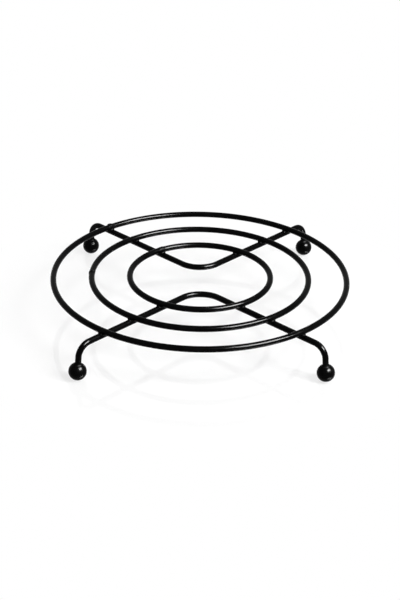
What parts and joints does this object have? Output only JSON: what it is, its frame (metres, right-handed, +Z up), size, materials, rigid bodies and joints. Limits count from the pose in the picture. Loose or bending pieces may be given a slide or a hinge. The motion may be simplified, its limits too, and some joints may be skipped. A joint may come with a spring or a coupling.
{
  "type": "wire trivet",
  "caption": "Round black wire trivet: concentric wire rings welded onto bent leg wires that stand on ball feet.",
  "frame": {"origin": "on the table under the trivet's centre, in the plane that the four ball feet touch", "axes": "+Z up, square to the rings; the leg wires mirror each other across the XZ plane, with the front one on the -Y side; the middles of both leg wires' bends lie on the Y axis"},
  "size_m": [0.2, 0.2, 0.0299],
  "materials": {
    "wire_coating": "satin black powder coat on steel wire",
    "weld_coating": "satin black powder coat over weld metal",
    "foot_coating": "semi-gloss black powder coat on steel balls"
  },
  "bodies": {
    "root": {"front_leg_wire": "wire_coating", "rear_leg_wire": "wire_coating", "outer_ring": "wire_coating", "middle_ring": "wire_coating", "inner_ring": "wire_coating", "outer_ring_butt_weld": "weld_coating", "middle_ring_butt_weld": "weld_coating", "inner_ring_butt_weld": "weld_coating", "outer_ring_crossing_welds": "weld_coating", "middle_ring_crossing_welds": "weld_coating", "inner_ring_crossing_welds": "weld_coating", "front_left_foot": "foot_coating", "front_right_foot": "foot_coating", "rear_left_foot": "foot_coating", "rear_right_foot": "foot_coating", "foot_welds": "weld_coating"}
  },
  "joints": []
}
